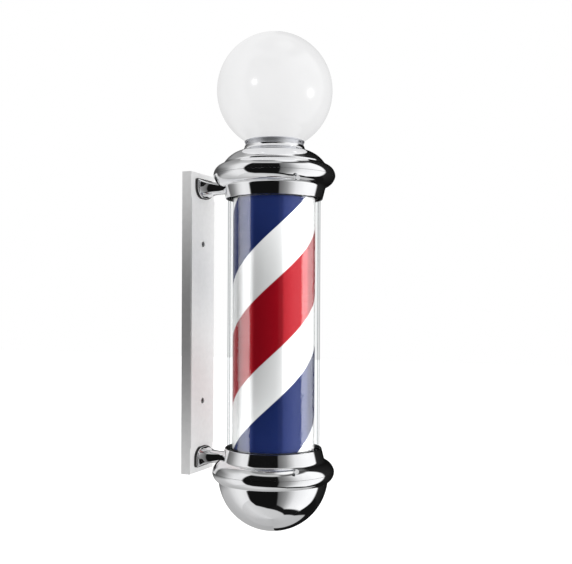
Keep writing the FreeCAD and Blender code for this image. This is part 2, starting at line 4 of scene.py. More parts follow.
import bmesh
import bpy
import numpy as np
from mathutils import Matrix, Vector


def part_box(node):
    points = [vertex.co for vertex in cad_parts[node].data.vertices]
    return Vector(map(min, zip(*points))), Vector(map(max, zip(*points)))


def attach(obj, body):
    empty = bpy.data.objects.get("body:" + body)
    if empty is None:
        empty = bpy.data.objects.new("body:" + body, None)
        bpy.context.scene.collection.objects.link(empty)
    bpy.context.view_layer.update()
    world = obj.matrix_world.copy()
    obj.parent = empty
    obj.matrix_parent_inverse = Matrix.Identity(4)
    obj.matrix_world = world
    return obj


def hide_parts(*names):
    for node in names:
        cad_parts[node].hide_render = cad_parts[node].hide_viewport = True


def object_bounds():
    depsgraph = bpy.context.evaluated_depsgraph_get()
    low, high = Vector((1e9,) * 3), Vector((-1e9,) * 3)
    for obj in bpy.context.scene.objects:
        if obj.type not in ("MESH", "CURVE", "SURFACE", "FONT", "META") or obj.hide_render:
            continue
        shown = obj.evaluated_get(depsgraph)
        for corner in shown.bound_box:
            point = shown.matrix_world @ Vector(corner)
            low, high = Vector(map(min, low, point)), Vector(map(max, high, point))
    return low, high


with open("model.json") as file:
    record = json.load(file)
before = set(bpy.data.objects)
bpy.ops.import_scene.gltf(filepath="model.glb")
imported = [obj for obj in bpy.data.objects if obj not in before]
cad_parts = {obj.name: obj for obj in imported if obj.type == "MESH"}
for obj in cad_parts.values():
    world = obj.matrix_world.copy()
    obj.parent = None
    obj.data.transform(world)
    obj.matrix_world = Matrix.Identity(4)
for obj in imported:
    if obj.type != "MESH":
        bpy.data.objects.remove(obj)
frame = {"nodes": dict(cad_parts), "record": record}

# A barber pole light on its wall plate: chrome caps, a striped drum in a clear tube and an opal globe.
# Profiles are written in millimetres as (distance from the pole's axis, height) and scaled by mm.

cadLow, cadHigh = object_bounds()
mm = 0.001
nodes = frame["nodes"]
record = frame["record"]
bodyOf = {node: body for body, members in record["behaviour"]["bodies"].items() for node in members}
slotOf = {part["node"]: part["material_slot"] for part in record["subparts"]}

tubeLow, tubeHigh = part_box("clear_tube")
globeLow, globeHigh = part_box("globe")
axisX = (tubeLow.x + tubeHigh.x) / 2
axisY = (tubeLow.y + tubeHigh.y) / 2
print("frame loaded:", len(nodes), "nodes, pole axis at", round(axisX, 4), round(axisY, 4))


def arcThrough(start, middle, end, count):
    # The circle through three points, walked from the first to the last in equal turns.
    (ax, ay), (bx, by), (cx, cy) = start, middle, end
    cross = 2 * (ax * (by - cy) + bx * (cy - ay) + cx * (ay - by))
    aa, bb, cc = ax * ax + ay * ay, bx * bx + by * by, cx * cx + cy * cy
    ux = (aa * (by - cy) + bb * (cy - ay) + cc * (ay - by)) / cross
    uy = (aa * (cx - bx) + bb * (ax - cx) + cc * (bx - ax)) / cross
    first = math.atan2(ay - uy, ax - ux)
    turnMid = (math.atan2(by - uy, bx - ux) - first) % math.tau
    turnEnd = (math.atan2(cy - uy, cx - ux) - first) % math.tau
    if turnMid > turnEnd:
        turnEnd -= math.tau
    turns = first + turnEnd * np.linspace(0, 1, count + 1)
    reach = math.hypot(ax - ux, ay - uy)
    return np.column_stack([ux + reach * np.cos(turns), uy + reach * np.sin(turns)])


def outline(path, step):
    # A path of corners and arcs as points about one step apart. A pair is the end of a straight;
    # two pairs are an arc's middle and its end.
    here, runs = path[0], [np.array([path[0]], float)]
    for item in path[1:]:
        if isinstance(item[0], tuple):
            chord = math.dist(here, item[0]) + math.dist(item[0], item[1])
            run = arcThrough(here, item[0], item[1], max(6, round(chord / step)))
            here = item[1]
        else:
            count = max(1, round(math.dist(here, item) / step))
            run = np.linspace(here, item, count + 1)
            here = item
        runs.append(run[1:])
    return np.vstack(runs)


def meshFromGrid(name, points, wrapRows, material, sharpTurn):
    # points is rows x columns x 3; columns always close round. Doubles on the axis are merged.
    rows, columns = points.shape[:2]
    index = np.arange(rows * columns).reshape(rows, columns)
    lower = index if wrapRows else index[:-1]
    upper = np.roll(index, -1, axis=0) if wrapRows else index[1:]
    faces = np.stack([lower, np.roll(lower, -1, axis=1), np.roll(upper, -1, axis=1), upper], axis=-1)
    mesh = bpy.data.meshes.new(name)
    mesh.from_pydata(points.reshape(-1, 3), [], faces.reshape(-1, 4))
    work = bmesh.new()
    work.from_mesh(mesh)
    bmesh.ops.remove_doubles(work, verts=work.verts, dist=1e-6)
    bmesh.ops.recalc_face_normals(work, faces=work.faces)
    work.to_mesh(mesh)
    work.free()
    mesh.shade_smooth()
    mesh.set_sharp_from_angle(angle=math.radians(sharpTurn))
    mesh.materials.append(material)
    piece = bpy.data.objects.new(name, mesh)
    bpy.context.scene.collection.objects.link(piece)
    return piece


def turnedPiece(name, path, node, material, flip=False, step=1.2, around=216, sharpTurn=38):
    # A closed profile carried round the pole's axis: x = axis + r cos(turn), y = axis + r sin(turn), z = height.
    line = outline(path, step)[:-1] * mm
    if flip:
        line[:, 1] *= -1
    turns = np.linspace(0, math.tau, around, endpoint=False)
    grid = np.empty((len(line), around, 3))
    grid[..., 0] = axisX + np.outer(line[:, 0], np.cos(turns))
    grid[..., 1] = axisY + np.outer(line[:, 0], np.sin(turns))
    grid[..., 2] = line[:, 1][:, None]
    piece = meshFromGrid(name, grid, True, material, sharpTurn)
    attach(piece, bodyOf[node])
    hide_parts(node)


def put(tree, kind, **settings):
    node = tree.nodes.new(kind)
    for key, value in settings.items():
        setattr(node, key, value)
    return node


def plug(tree, target, source):
    if isinstance(source, bpy.types.NodeSocket):
        tree.links.new(source, target)
    else:
        target.default_value = source


def calc(tree, operation, *values, clamp=False):
    node = put(tree, "ShaderNodeMath", operation=operation, use_clamp=clamp)
    for target, value in zip(node.inputs, values):
        plug(tree, target, value)
    return node.outputs[0]


def between(tree, value, fromLow, fromHigh, toLow=0.0, toHigh=1.0, kind="SMOOTHSTEP"):
    node = put(tree, "ShaderNodeMapRange", interpolation_type=kind)
    for target, item in zip(node.inputs, (value, fromLow, fromHigh, toLow, toHigh)):
        plug(tree, target, item)
    return node.outputs[0]


def blend(tree, share, first, second):
    node = put(tree, "ShaderNodeMix", data_type="RGBA")
    plug(tree, node.inputs["Factor"], share)
    plug(tree, node.inputs[6], first)
    plug(tree, node.inputs[7], second)
    return node.outputs[2]


def ramp(tree, value, stops):
    # Each stop is a place from 0 to 1 with a grey or a colour.
    node = put(tree, "ShaderNodeValToRGB")
    node.color_ramp.interpolation = "LINEAR"
    elements = node.color_ramp.elements
    while len(elements) < len(stops):
        elements.new(1.0)
    for element, (place, shade) in zip(elements, stops):
        element.position = place
        element.color = (shade, shade, shade, 1) if isinstance(shade, (int, float)) else (*shade, 1)
    plug(tree, node.inputs[0], value)
    return node.outputs[0]


def objectPoint(tree, shift=(0, 0, 0)):
    mapping = put(tree, "ShaderNodeMapping")
    mapping.inputs["Location"].default_value = shift
    plug(tree, mapping.inputs["Vector"], put(tree, "ShaderNodeTexCoord").outputs["Object"])
    return mapping.outputs[0]


def newGroup(name, inputs, outputs):
    group = bpy.data.node_groups.new(name, "ShaderNodeTree")
    for label, kind in inputs:
        group.interface.new_socket(label, in_out="INPUT", socket_type=kind)
    for label, kind in outputs:
        group.interface.new_socket(label, in_out="OUTPUT", socket_type=kind)
    return group, put(group, "NodeGroupInput"), put(group, "NodeGroupOutput")


def buildHandling():
    # Soft finger haze and thin cleaning lines: a low noise for the haze and a stretched noise for the lines.
    group, inside, outside = newGroup(
        "handlingMarks",
        [("Point", "NodeSocketVector"), ("Haze Size", "NodeSocketFloat"), ("Line Size", "NodeSocketFloat")],
        [("Haze", "NodeSocketFloat"), ("Lines", "NodeSocketFloat")])
    haze = put(group, "ShaderNodeTexNoise")
    plug(group, haze.inputs["Vector"], inside.outputs["Point"])
    plug(group, haze.inputs["Scale"], inside.outputs["Haze Size"])
    haze.inputs["Detail"].default_value = 4.0
    stretch = put(group, "ShaderNodeVectorMath", operation="MULTIPLY")
    plug(group, stretch.inputs[0], inside.outputs["Point"])
    stretch.inputs[1].default_value = (1.0, 1.0, 9.0)
    lines = put(group, "ShaderNodeTexNoise")
    plug(group, lines.inputs["Vector"], stretch.outputs[0])
    plug(group, lines.inputs["Scale"], inside.outputs["Line Size"])
    lines.inputs["Detail"].default_value = 6.0
    plug(group, outside.inputs["Haze"], between(group, haze.outputs[0], 0.42, 0.68))
    plug(group, outside.inputs["Lines"], between(group, lines.outputs[0], 0.56, 0.70))
    return group


def buildSurfaceGrain():
    # The skin of paint, plastic or casting: two noises of different size put together as a height.
    group, inside, outside = newGroup(
        "surfaceGrain",
        [("Point", "NodeSocketVector"), ("Grain Size", "NodeSocketFloat"), ("Coarse Share", "NodeSocketFloat")],
        [("Height", "NodeSocketFloat"), ("Tone", "NodeSocketFloat")])
    fine = put(group, "ShaderNodeTexNoise")
    plug(group, fine.inputs["Vector"], inside.outputs["Point"])
    plug(group, fine.inputs["Scale"], inside.outputs["Grain Size"])
    fine.inputs["Detail"].default_value = 3.0
    coarse = put(group, "ShaderNodeTexNoise")
    plug(group, coarse.inputs["Vector"], inside.outputs["Point"])
    plug(group, coarse.inputs["Scale"], calc(group, "MULTIPLY", inside.outputs["Grain Size"], 0.11))
    height = put(group, "ShaderNodeMix", data_type="FLOAT")
    plug(group, height.inputs[0], inside.outputs["Coarse Share"])
    plug(group, height.inputs[2], fine.outputs[0])
    plug(group, height.inputs[3], coarse.outputs[0])
    plug(group, outside.inputs["Height"], height.outputs[0])
    plug(group, outside.inputs["Tone"], coarse.outputs[0])
    return group


def buildEdgeWearAndHighlight():
    # A mask for painted highlight and edge wear where a rounded edge would catch light: the shading normal
    # softened by a bevel against the true one.
    group, inside, outside = newGroup(
        "edgeWearAndHighlight", [("Reach", "NodeSocketFloat"), ("Spread", "NodeSocketFloat")], [("Edge", "NodeSocketFloat")])
    soft = put(group, "ShaderNodeBevel", samples=4)
    plug(group, soft.inputs["Radius"], inside.outputs["Reach"])
    match = put(group, "ShaderNodeVectorMath", operation="DOT_PRODUCT")
    plug(group, match.inputs[0], soft.outputs[0])
    plug(group, match.inputs[1], put(group, "ShaderNodeNewGeometry").outputs["Normal"])
    plug(group, outside.inputs["Edge"],
         between(group, calc(group, "SUBTRACT", 1.0, match.outputs["Value"]), 0.02, inside.outputs["Spread"]))
    return group


handlingMarks = buildHandling()
surfaceGrain = buildSurfaceGrain()
edgeWearAndHighlight = buildEdgeWearAndHighlight()


def useGroup(tree, group, **values):
    node = put(tree, "ShaderNodeGroup", node_tree=group)
    for label, value in values.items():
        plug(tree, node.inputs[label.replace("_", " ")], value)
    return node.outputs


def emptyMaterial(name):
    material = bpy.data.materials.new(name)
    material.use_nodes = True
    material.node_tree.nodes.clear()
    return material, material.node_tree


def toOutput(tree, shader):
    plug(tree, put(tree, "ShaderNodeOutputMaterial").inputs["Surface"], shader)


def finishMaterial(name, look):
    # One finish from its dictionary: two tones mixed by the grain, marks in the roughness, grain as bump.
    material, tree = emptyMaterial(name)
    point = objectPoint(tree)
    grain = useGroup(tree, surfaceGrain, Point=point, Grain_Size=look["grainSize"], Coarse_Share=look["coarse"])
    marks = useGroup(tree, handlingMarks, Point=point, Haze_Size=look["hazeSize"], Line_Size=look["lineSize"])
    colour = blend(tree, between(tree, grain["Tone"], 0.35, 0.65), look["colour"], look["shade"])
    shader = put(tree, "ShaderNodeBsdfPrincipled")
    rough = calc(tree, "ADD", look["rough"], calc(tree, "MULTIPLY", marks["Haze"], look["hazeRough"]))
    rough = calc(tree, "ADD", rough, calc(tree, "MULTIPLY", marks["Lines"], look["lineRough"]))
    # painted highlight: rounded edges are lightened towards a paler colour; on the zinc this also stands for
    # rubbed edge wear
    if "wearAndHighlight" in look:
        edge = useGroup(tree, edgeWearAndHighlight, Reach=look["wearAndHighlightReach"], Spread=0.3)["Edge"]
        colour = blend(tree, calc(tree, "MULTIPLY", edge, look["wearAndHighlight"]), colour, look["wearAndHighlightColour"])
    plug(tree, shader.inputs["Base Color"], colour)
    plug(tree, shader.inputs["Roughness"], rough)
    for socket in ("Metallic", "IOR", "Subsurface Weight", "Emission Color", "Emission Strength"):
        if socket in look:
            shader.inputs[socket].default_value = look[socket]
    bump = put(tree, "ShaderNodeBump")
    bump.inputs["Strength"].default_value = look["bump"]
    bump.inputs["Distance"].default_value = look["bumpDepth"]
    plug(tree, bump.inputs["Height"], grain["Height"])
    plug(tree, shader.inputs["Normal"], bump.outputs[0])
    toOutput(tree, shader.outputs[0])
    return material


chromeLook = {
    "colour": (0.93, 0.935, 0.945, 1), "shade": (0.90, 0.905, 0.92, 1), "Metallic": 1.0, "rough": 0.028,
    "hazeSize": 26.0, "hazeRough": 0.035, "lineSize": 120.0, "lineRough": 0.03,
    "grainSize": 420.0, "coarse": 0.7, "bump": 0.03, "bumpDepth": 0.0003,
}
satinLook = {
    "colour": (0.86, 0.87, 0.90, 1), "shade": (0.82, 0.83, 0.87, 1), "Metallic": 1.0, "rough": 0.48,
    "hazeSize": 40.0, "hazeRough": 0.05, "lineSize": 200.0, "lineRough": 0.06,
    "grainSize": 700.0, "coarse": 0.4, "bump": 0.05, "bumpDepth": 0.0003,
}
paintLook = {
    "colour": (0.80, 0.80, 0.80, 1), "shade": (0.775, 0.775, 0.775, 1), "rough": 0.34,
    "hazeSize": 14.0, "hazeRough": 0.06, "lineSize": 70.0, "lineRough": 0.05,
    "grainSize": 900.0, "coarse": 0.35, "bump": 0.10, "bumpDepth": 0.0004,
    # edges lightened towards white as a painted highlight
    "wearAndHighlight": 0.35, "wearAndHighlightReach": 0.0012, "wearAndHighlightColour": (0.9, 0.9, 0.9, 1),
}
zincLook = {
    "colour": (0.62, 0.63, 0.65, 1), "shade": (0.54, 0.54, 0.52, 1), "Metallic": 1.0, "rough": 0.3,
    "hazeSize": 60.0, "hazeRough": 0.15, "lineSize": 240.0, "lineRough": 0.1,
    "grainSize": 700.0, "coarse": 0.5, "bump": 0.15, "bumpDepth": 0.0004,
    # edges lightened as rubbed edge wear and as a painted highlight
    "wearAndHighlight": 0.5, "wearAndHighlightReach": 0.0006, "wearAndHighlightColour": (0.8, 0.8, 0.82, 1),
}
castLook = {
    "colour": (0.55, 0.56, 0.57, 1), "shade": (0.45, 0.46, 0.47, 1), "Metallic": 1.0, "rough": 0.5,
    "hazeSize": 40.0, "hazeRough": 0.15, "lineSize": 150.0, "lineRough": 0.05,
    "grainSize": 1500.0, "coarse": 0.25, "bump": 0.5, "bumpDepth": 0.0006,
}
rubberLook = {
    "colour": (0.018, 0.018, 0.019, 1), "shade": (0.03, 0.03, 0.03, 1), "rough": 0.62,
    "hazeSize": 80.0, "hazeRough": 0.15, "lineSize": 200.0, "lineRough": 0.1,
    "grainSize": 1800.0, "coarse": 0.3, "bump": 0.4, "bumpDepth": 0.0004,
}
blackPlasticLook = {
    "colour": (0.02, 0.02, 0.022, 1), "shade": (0.035, 0.035, 0.037, 1), "rough": 0.4,
    "hazeSize": 50.0, "hazeRough": 0.12, "lineSize": 160.0, "lineRough": 0.08,
    "grainSize": 2200.0, "coarse": 0.2, "bump": 0.3, "bumpDepth": 0.0003,
}
whitePlasticLook = {
    "colour": (0.80, 0.80, 0.78, 1), "shade": (0.75, 0.75, 0.72, 1), "rough": 0.35,
    "hazeSize": 50.0, "hazeRough": 0.1, "lineSize": 160.0, "lineRough": 0.06,
    "grainSize": 1600.0, "coarse": 0.3, "bump": 0.15, "bumpDepth": 0.0003,
}
drumPlasticLook = {
    "colour": (0.84, 0.84, 0.83, 1), "shade": (0.80, 0.80, 0.79, 1), "rough": 0.25, "Subsurface Weight": 0.2,
    "hazeSize": 30.0, "hazeRough": 0.08, "lineSize": 90.0, "lineRough": 0.08,
    "grainSize": 1200.0, "coarse": 0.5, "bump": 0.08, "bumpDepth": 0.0003,
}
bronzeLook = {
    "colour": (0.55, 0.36, 0.17, 1), "shade": (0.42, 0.27, 0.13, 1), "Metallic": 1.0, "rough": 0.35,
    "hazeSize": 90.0, "hazeRough": 0.15, "lineSize": 260.0, "lineRough": 0.1,
    "grainSize": 1400.0, "coarse": 0.4, "bump": 0.2, "bumpDepth": 0.0003,
}
motorLook = {
    "colour": (0.50, 0.50, 0.50, 1), "shade": (0.42, 0.42, 0.43, 1), "Metallic": 1.0, "rough": 0.36,
    "hazeSize": 50.0, "hazeRough": 0.12, "lineSize": 180.0, "lineRough": 0.12,
    "grainSize": 900.0, "coarse": 0.5, "bump": 0.15, "bumpDepth": 0.0003,
}
lampLook = {
    "colour": (0.88, 0.87, 0.84, 1), "shade": (0.84, 0.83, 0.80, 1), "rough": 0.12, "Subsurface Weight": 0.3,
    "hazeSize": 40.0, "hazeRough": 0.08, "lineSize": 120.0, "lineRough": 0.04,
    "grainSize": 800.0, "coarse": 0.6, "bump": 0.03, "bumpDepth": 0.0002,
}
# painted glow: a low base colour under a white emission gives the globe an even brightness that stands in for
# light falling on it
opalLook = {
    "colour": (0.23, 0.23, 0.235, 1), "shade": (0.21, 0.21, 0.215, 1), "rough": 0.19, "IOR": 1.47,
    "hazeSize": 16.0, "hazeRough": 0.05, "lineSize": 60.0, "lineRough": 0.03,
    "grainSize": 160.0, "coarse": 0.8, "bump": 0.02, "bumpDepth": 0.0005,
    "Emission Color": (1.0, 1.0, 1.0, 1), "Emission Strength": 0.64,
}
looks = {
    "chrome": chromeLook, "satin_chrome": satinLook, "white_paint": paintLook, "zinc_steel": zincLook,
    "cast_aluminium": castLook, "black_rubber": rubberLook, "black_plastic": blackPlasticLook,
    "white_plastic": whitePlasticLook, "drum_plastic": drumPlasticLook, "bronze": bronzeLook,
    "motor_steel": motorLook, "lamp_glass": lampLook, "opal_glass": opalLook,
}
finishes = {slot: finishMaterial(slot, look) for slot, look in looks.items()}

# Stripes climb to the right round the drum. Start is the height in metres where blue begins at the turn
# called facing; the other ends are shares of one lead, after which the pattern repeats.
stripeLook = {
    "lead": 0.4126, "facing": math.radians(203.0), "start": -0.2549,
    "blueEnd": 0.2983, "redStart": 0.4988, "redEnd": 0.7877, "soften": 0.0006,
    "blue": (0.011, 0.022, 0.104), "red": (0.350, 0.005, 0.013), "white": (0.90, 0.90, 0.90),
    "wobbleSize": 900.0, "wobble": 0.0008, "toneShare": 0.10, "tone": (0.8, 0.8, 0.82, 1),
    "rough": 0.13, "grainRough": 0.03, "hazeRough": 0.02, "metalShare": 0.35, "shine": 0.15,
    "grainSize": 1300.0, "coarse": 0.3, "hazeSize": 18.0, "lineSize": 60.0, "bump": 0.12, "bumpDepth": 0.0003,
    "lapTurn": math.radians(23.0), "lapWidth": 0.004, "lapShare": 0.35, "lapRise": 2.0,
    "lapColour": (0.3, 0.3, 0.32, 1),
}


def stripedMaterial(look):
    material, tree = emptyMaterial("striped_film")
    point = objectPoint(tree, (-axisX, -axisY, 0))
    parts = put(tree, "ShaderNodeSeparateXYZ")
    plug(tree, parts.inputs[0], point)
    turn = calc(tree, "ARCTAN2", parts.outputs["Y"], parts.outputs["X"])
    # place along the pattern = (height - start) / lead - (turn - facing) / whole turn, kept between 0 and 1
    offset = look["facing"] / math.tau - look["start"] / look["lead"]
    climb = calc(tree, "MULTIPLY_ADD", turn, -1 / math.tau, offset)
    place = calc(tree, "MULTIPLY_ADD", parts.outputs["Z"], 1 / look["lead"], climb)
    wobble = put(tree, "ShaderNodeTexNoise")
    plug(tree, wobble.inputs["Vector"], point)
    wobble.inputs["Scale"].default_value = look["wobbleSize"]
    place = calc(tree, "MULTIPLY_ADD", calc(tree, "SUBTRACT", wobble.outputs[0], 0.5), look["wobble"], place)
    place = calc(tree, "FRACT", place)
    soft = look["soften"]
    ink = ramp(tree, place, [
        (0.0, look["blue"]), (look["blueEnd"] - soft, look["blue"]), (look["blueEnd"] + soft, look["white"]),
        (look["redStart"] - soft, look["white"]), (look["redStart"] + soft, look["red"]),
        (look["redEnd"] - soft, look["red"]), (look["redEnd"] + soft, look["white"]), (1.0, look["white"]),
    ])
    grain = useGroup(tree, surfaceGrain, Point=point, Grain_Size=look["grainSize"], Coarse_Share=look["coarse"])
    marks = useGroup(tree, handlingMarks, Point=point, Haze_Size=look["hazeSize"], Line_Size=look["lineSize"])
    darker = put(tree, "ShaderNodeMix", data_type="RGBA", blend_type="MULTIPLY")
    plug(tree, darker.inputs["Factor"], calc(tree, "MULTIPLY", grain["Tone"], look["toneShare"]))
    plug(tree, darker.inputs[6], ink)
    darker.inputs[7].default_value = look["tone"]
    # the film's glued lap: a thin line where the angle is near the lap's
    fromLap = calc(tree, "ABSOLUTE", calc(tree, "SUBTRACT", turn, look["lapTurn"]))
    lap = between(tree, fromLap, 0.0, look["lapWidth"], 1.0, 0.0)
    colour = blend(tree, calc(tree, "MULTIPLY", lap, look["lapShare"]), darker.outputs[2], look["lapColour"])
    shader = put(tree, "ShaderNodeBsdfPrincipled")
    shader.inputs["Metallic"].default_value = look["metalShare"]
    shader.inputs["Specular IOR Level"].default_value = look["shine"]
    plug(tree, shader.inputs["Base Color"], colour)
    rough = calc(tree, "MULTIPLY_ADD", grain["Height"], look["grainRough"], look["rough"])
    plug(tree, shader.inputs["Roughness"], calc(tree, "MULTIPLY_ADD", marks["Haze"], look["hazeRough"], rough))
    bump = put(tree, "ShaderNodeBump")
    bump.inputs["Strength"].default_value = look["bump"]
    bump.inputs["Distance"].default_value = look["bumpDepth"]
    lapHeight = calc(tree, "MULTIPLY", lap, look["lapRise"])
    plug(tree, bump.inputs["Height"], calc(tree, "ADD", grain["Height"], lapHeight))
    plug(tree, shader.inputs["Normal"], bump.outputs[0])
    toOutput(tree, shader.outputs[0])
    return material


# Clear acrylic: a straight view through it, with painted shade that darkens it towards the edges in place of
# refraction, and a small mirror share.
tubeLook = {
    "tint": (0.988, 0.992, 0.992, 1), "paintedEdgeShade": (0.42, 0.44, 0.45, 1), "edgeFrom": 0.72,
    "index": 1.49, "mirrorMost": 0.016, "rough": 0.02, "hazeRough": 0.04, "lineRough": 0.03,
    "hazeSize": 12.0, "lineSize": 45.0,
}


def clearMaterial(look):
    material, tree = emptyMaterial("clear_plastic")
    point = objectPoint(tree)
    marks = useGroup(tree, handlingMarks, Point=point, Haze_Size=look["hazeSize"], Line_Size=look["lineSize"])
    through = put(tree, "ShaderNodeBsdfTransparent")
    grazing = put(tree, "ShaderNodeLayerWeight").outputs["Facing"]
    edge = between(tree, grazing, look["edgeFrom"], 1.0, kind="LINEAR")
    # painted shade: the view through goes grey at grazing angles, standing in for the edge's refraction
    plug(tree, through.inputs["Color"], blend(tree, edge, look["tint"], look["paintedEdgeShade"]))
    mirror = put(tree, "ShaderNodeBsdfAnisotropic")
    mirror.inputs["Color"].default_value = (1, 1, 1, 1)
    rough = calc(tree, "MULTIPLY", marks["Lines"], look["lineRough"])
    rough = calc(tree, "MULTIPLY_ADD", marks["Haze"], look["hazeRough"], rough)
    plug(tree, mirror.inputs["Roughness"], calc(tree, "ADD", look["rough"], rough))
    fresnel = put(tree, "ShaderNodeFresnel")
    fresnel.inputs["IOR"].default_value = look["index"]
    mix = put(tree, "ShaderNodeMixShader")
    plug(tree, mix.inputs[0], calc(tree, "MINIMUM", fresnel.outputs[0], look["mirrorMost"]))
    plug(tree, mix.inputs[1], through.outputs[0])
    plug(tree, mix.inputs[2], mirror.outputs[0])
    toOutput(tree, mix.outputs[0])
    return material


finishes["striped_film"] = stripedMaterial(stripeLook)
finishes["clear_plastic"] = clearMaterial(tubeLook)
print("finishes made:", len(finishes))

# Collars: a barrel, a small hollow and the lower half of the bead, drawn for the upper end.
# The outside is a start and then the middle and end of each arc; the inside is the same, one wall in.
collar = {
    "wall": 2.2, "lip": ((82.0, 214.7), (83.0, 214.7)),
    "outside": (
        (83.5, 215.0), (85.9, 224.0), (88.0, 232.5), (89.4, 235.8), (92.5, 237.6), (101.2, 244.6), (105.5, 254.0)),
}
outside = collar["outside"]
inside = [(reach - collar["wall"], height) for reach, height in reversed(outside)]
collarPath = (
    outside[0], *zip(outside[1::2], outside[2::2]),
    inside[0], *zip(inside[1::2], inside[2::2]), *collar["lip"], outside[0],
)
for end, flip in (("upper", False), ("lower", True)):
    turnedPiece("chrome_collar_" + end, collarPath, end + "_collar", finishes["chrome"], flip)
print("collars made")

# Top cap: half a bead, a step, a dome and a hollow that runs up into the neck.
topCap = {
    "outside": (
        (105.5, 254.4), ((102.6, 264.6), (93.4, 272.4)), ((90.6, 273.9), (87.9, 274.3)),
        ((87.6, 274.5), (87.5, 274.8)), (87.4, 276.5), ((87.2, 276.9), (86.9, 277.2)),
        ((76.8, 288.0), (60.5, 296.6)), ((54.0, 300.4), (51.6, 306.0)),
    ),
    "inside": (
        (49.2, 306.0), (49.2, 304.0), ((52.6, 298.9), (59.2, 295.2)), ((75.4, 287.0), (86.0, 276.3)),
        (86.0, 272.9), (92.2, 271.2), ((101.2, 263.9), (103.9, 254.4)), (105.5, 254.4),
    ),
}
turnedPiece("chrome_top_cap", topCap["outside"] + topCap["inside"], "top_cap", finishes["chrome"])

# Neck ring with a rolled lip that holds the globe.
neckRing = {
    "outside": (
        (43.0, 297.5), (49.0, 297.5), (49.0, 306.05), (51.6, 306.05), ((50.6, 306.8), (50.3, 308.0)),
        (50.3, 312.2), ((51.9, 313.9), (50.6, 315.5)),
    ),
    "inside": ((47.4, 313.8), (47.4, 299.1), (43.0, 299.1), (43.0, 297.5)),
    "step": 0.5,
}
turnedPiece("satin_neck_ring", neckRing["outside"] + neckRing["inside"], "globe_fitter", finishes["satin_chrome"],
            step=neckRing["step"])

# Bottom cap: half a bead, a fine step and a hemisphere.
bowl = {
    "radius": 95.0, "centre": -262.0, "wall": 1.6, "rim": (105.5, -254.4),
    "bead": ((103.4, -263.8), (97.6, -270.6)), "beadFoot": (96.4, -271.7),
    "step": -272.0, "stepAbove": 0.1, "stepBelow": 0.2, "stepRound": 0.15,
    "insideStep": (92.8, -272.0), "insideBead": ((101.6, -263.4), (103.9, -254.4)),
}
ball, middle, slant = bowl["radius"], bowl["centre"], math.sqrt(0.5)
hollow = ball - bowl["wall"]
stepRadius = math.sqrt(ball ** 2 - (bowl["step"] - middle) ** 2)
bowlPath = (
    bowl["rim"], bowl["bead"],
    (bowl["beadFoot"], (stepRadius + bowl["stepRound"], bowl["step"] + bowl["stepAbove"])),
    (stepRadius, bowl["step"] - bowl["stepBelow"]),
    ((ball * slant, middle - ball * slant), (0.0, middle - ball)), (0.0, middle - hollow),
    ((hollow * slant, middle - hollow * slant), bowl["insideStep"]), bowl["insideBead"], bowl["rim"],
)
turnedPiece("chrome_bottom_bowl", bowlPath, "bottom_dome", finishes["chrome"])
print("caps made")

# Opal globe: a blown ball on a short open neck with a flared lip.
globe = {
    "neck": 44.5, "wall": 3.0, "foot": 301.0, "lip": 46.9, "lipTop": 304.0, "lipEnd": 306.4,
    "lipArc": (45.4, 304.9), "flare": 0.7, "step": 2.4, "sharpTurn": 50,
}
ball = (globeHigh.x - globeLow.x) / 2 / mm
middle = globeHigh.z / mm - ball
hollow, throat = ball - globe["wall"], globe["neck"] - globe["wall"]
meets = middle - math.sqrt(ball ** 2 - globe["neck"] ** 2)  # where the ball meets the neck
insideMeets = middle - math.sqrt(hollow ** 2 - throat ** 2)
globePath = (
    (throat, globe["foot"]), (globe["lip"], globe["foot"]), (globe["lip"], globe["lipTop"]),
    (globe["lipArc"], (globe["neck"], globe["lipEnd"])),
    (globe["neck"], meets - 0.6), (globe["neck"] + globe["flare"], meets - 0.3),
    ((ball, middle), (0.0, middle + ball)), (0.0, middle + hollow),
    ((hollow, middle), (throat, insideMeets)), (throat, globe["foot"]),
)
turnedPiece("opal_globe", globePath, "globe", finishes["opal_glass"], step=globe["step"],
            sharpTurn=globe["sharpTurn"])

# Clear tube with polished, slightly broken ends.
tube = {"outside": 80.0, "inside": 77.0, "half": 222.0, "broken": 0.5, "step": 12.0, "around": 256}
wide, narrow, half, broken = (tube[key] for key in ("outside", "inside", "half", "broken"))
tubePath = (
    (wide, -half + broken), (wide, half - broken), (wide - broken, half),
    (narrow + broken, half), (narrow, half - broken), (narrow, -half + broken),
    (narrow + broken, -half), (wide - broken, -half), (wide, -half + broken),
)
turnedPiece("clear_tube_wall", tubePath, "clear_tube", finishes["clear_plastic"], step=tube["step"],
            around=tube["around"])

# Printed film on the drum.
film = {"outside": 71.0, "inside": 70.65, "half": 214.5, "step": 6.0, "around": 256}
wide, narrow, half = film["outside"], film["inside"], film["half"]
filmPath = ((wide, -half), (wide, half), (narrow, half), (narrow, -half), (wide, -half))
turnedPiece("striped_drum_film", filmPath, "striped_sleeve", finishes["striped_film"], step=film["step"],
            around=film["around"])
print("globe, tube and film made")

# Arms: a D-shaped foot drawn out through a horn into a round neck.
arm = {
    "height": 238.5, "halfWidth": 27.5, "halfTall": 16.5, "roundIn": 19.0, "roundOut": 4.0,
    "back": -22.5, "front": -26.0, "edge": 2.4, "horn": 34.0, "neck": 10.5, "neckEnd": -72.4,
    "edgeRings": 9, "hornRings": 36, "neckRings": 11, "cornerPoints": 24, "fill": 12, "around": 160,
    "sharpTurn": 42,
}


